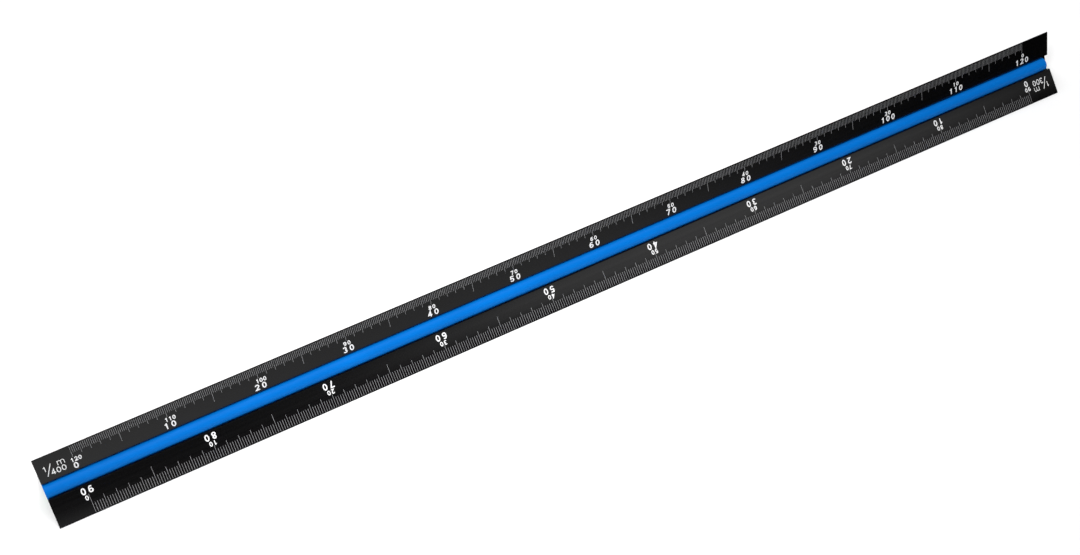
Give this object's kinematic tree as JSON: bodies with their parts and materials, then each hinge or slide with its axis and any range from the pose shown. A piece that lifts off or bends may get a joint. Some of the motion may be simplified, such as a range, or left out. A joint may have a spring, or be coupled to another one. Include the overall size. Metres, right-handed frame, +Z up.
{
  "type": "triangular scale ruler",
  "caption": "Triangular drafting scale: black tri-lobed aluminium extrusion with six graduated edges and a coloured inlay strip along each face.",
  "frame": {"origin": "middle of the length and width, on the surface that the ruler rests on", "axes": "+X along the ruler, from the left end of the front face to its right end; +Z up; the blue-striped face looks forward and up, towards -Y and +Z"},
  "size_m": [0.3194, 0.0198, 0.0172],
  "materials": {
    "anodised_body": "satin",
    "blue_plastic": "satin",
    "red_plastic": "satin",
    "green_plastic": "satin",
    "white_marking": "matte"
  },
  "bodies": {
    "root": {"extruded_body": "anodised_body", "blue_inlay_strip": "blue_plastic", "red_inlay_strip": "red_plastic", "green_inlay_strip": "green_plastic"}
  },
  "joints": []
}
